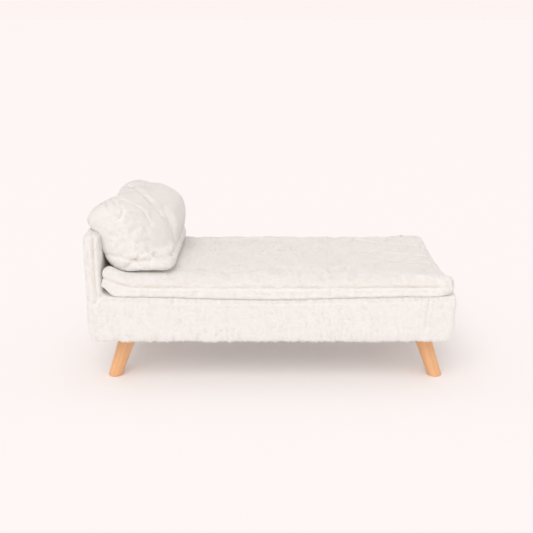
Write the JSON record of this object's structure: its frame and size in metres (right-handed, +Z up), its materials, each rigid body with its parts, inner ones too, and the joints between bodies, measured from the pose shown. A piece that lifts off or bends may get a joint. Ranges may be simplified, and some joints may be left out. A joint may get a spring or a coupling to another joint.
{
  "type": "dog bed with frame",
  "caption": "Raised pet sofa: a fur-covered box base with a headboard at one end, splayed wooden legs, a loose zipped mattress and a soft pillow.",
  "frame": {"origin": "on the floor under the middle of the bed, halfway along its length and its depth", "axes": "+X along the bed away from the headboard, +Y from the front to the rear, +Z up"},
  "size_m": [0.86, 0.43, 0.4382],
  "materials": {
    "cream_fur": "short plush pile, matt with a soft sheen",
    "oiled_beech": "satin oiled hardwood, grain along the leg",
    "frame_pine": "planed, unfinished",
    "plywood": "raw plywood",
    "foam": "open-cell foam",
    "fibre_filling": "loose polyester fibre",
    "dust_cloth": "spun-bonded cloth",
    "zinc_steel": "zinc plated",
    "zip_tape": "woven polyester tape with a nylon coil",
    "zip_metal": "die-cast, nickel plated"
  },
  "bodies": {
    "base": {"base_cover": "cream_fur", "centre_rail": "frame_pine", "deck_foam": "foam", "deck_panel": "plywood", "dust_cover": "dust_cloth", "front_foam": "foam", "front_rail": "frame_pine", "headboard_foam_inner": "foam", "headboard_foam_outer": "foam", "headboard_foam_top": "foam", "headboard_panel": "plywood", "headboard_screw_front": "zinc_steel", "headboard_screw_rear": "zinc_steel", "left_rail": "frame_pine", "leg_board_left": "frame_pine", "leg_board_right": "frame_pine", "leg_front_left": "oiled_beech", "leg_front_right": "oiled_beech", "leg_plate_front_left": "zinc_steel", "leg_plate_front_right": "zinc_steel", "leg_plate_rear_left": "zinc_steel", "leg_plate_rear_right": "zinc_steel", "leg_rear_left": "oiled_beech", "leg_rear_right": "oiled_beech", "leg_stud_front_left": "zinc_steel", "leg_stud_front_right": "zinc_steel", "leg_stud_rear_left": "zinc_steel", "leg_stud_rear_right": "zinc_steel", "plate_screw_front_left_1": "zinc_steel", "plate_screw_front_left_2": "zinc_steel", "plate_screw_front_left_3": "zinc_steel", "plate_screw_front_left_4": "zinc_steel", "plate_screw_front_right_1": "zinc_steel", "plate_screw_front_right_2": "zinc_steel", "plate_screw_front_right_3": "zinc_steel", "plate_screw_front_right_4": "zinc_steel", "plate_screw_rear_left_1": "zinc_steel", "plate_screw_rear_left_2": "zinc_steel", "plate_screw_rear_left_3": "zinc_steel", "plate_screw_rear_left_4": "zinc_steel", "plate_screw_rear_right_1": "zinc_steel", "plate_screw_rear_right_2": "zinc_steel", "plate_screw_rear_right_3": "zinc_steel", "plate_screw_rear_right_4": "zinc_steel", "rear_foam": "foam", "rear_rail": "frame_pine", "right_foam": "foam", "right_rail": "frame_pine"},
    "mattress": {"mattress_core": "foam", "mattress_cover_top": "cream_fur", "mattress_border": "cream_fur", "mattress_cover_bottom": "cream_fur", "mattress_zip_tape": "zip_tape"},
    "zip_slider": {"zip_slider": "zip_metal"},
    "zip_pull": {"zip_pull": "zip_metal"},
    "pillow": {"pillow_filling": "fibre_filling", "pillow_cover": "cream_fur"}
  },
  "joints": [
    {"name": "mattress_lift", "type": "slide", "parent": "base", "child": "mattress", "axis": [0, 0, 1], "range_m": [0, 0.2]},
    {"name": "pillow_lift", "type": "slide", "parent": "mattress", "child": "pillow", "axis": [0, 0, 1], "range_m": [0, 0.2]},
    {"name": "zip_slide", "type": "slide", "parent": "mattress", "child": "zip_slider", "axis": [-1, 0, 0], "range_m": [0, 0.52]},
    {"name": "zip_pull_hinge", "type": "hinge", "parent": "zip_slider", "child": "zip_pull", "pos_m": [0.264, 0.2109, 0.24665], "axis": [0, 0, 1], "range_deg": [0, 170]}
  ]
}
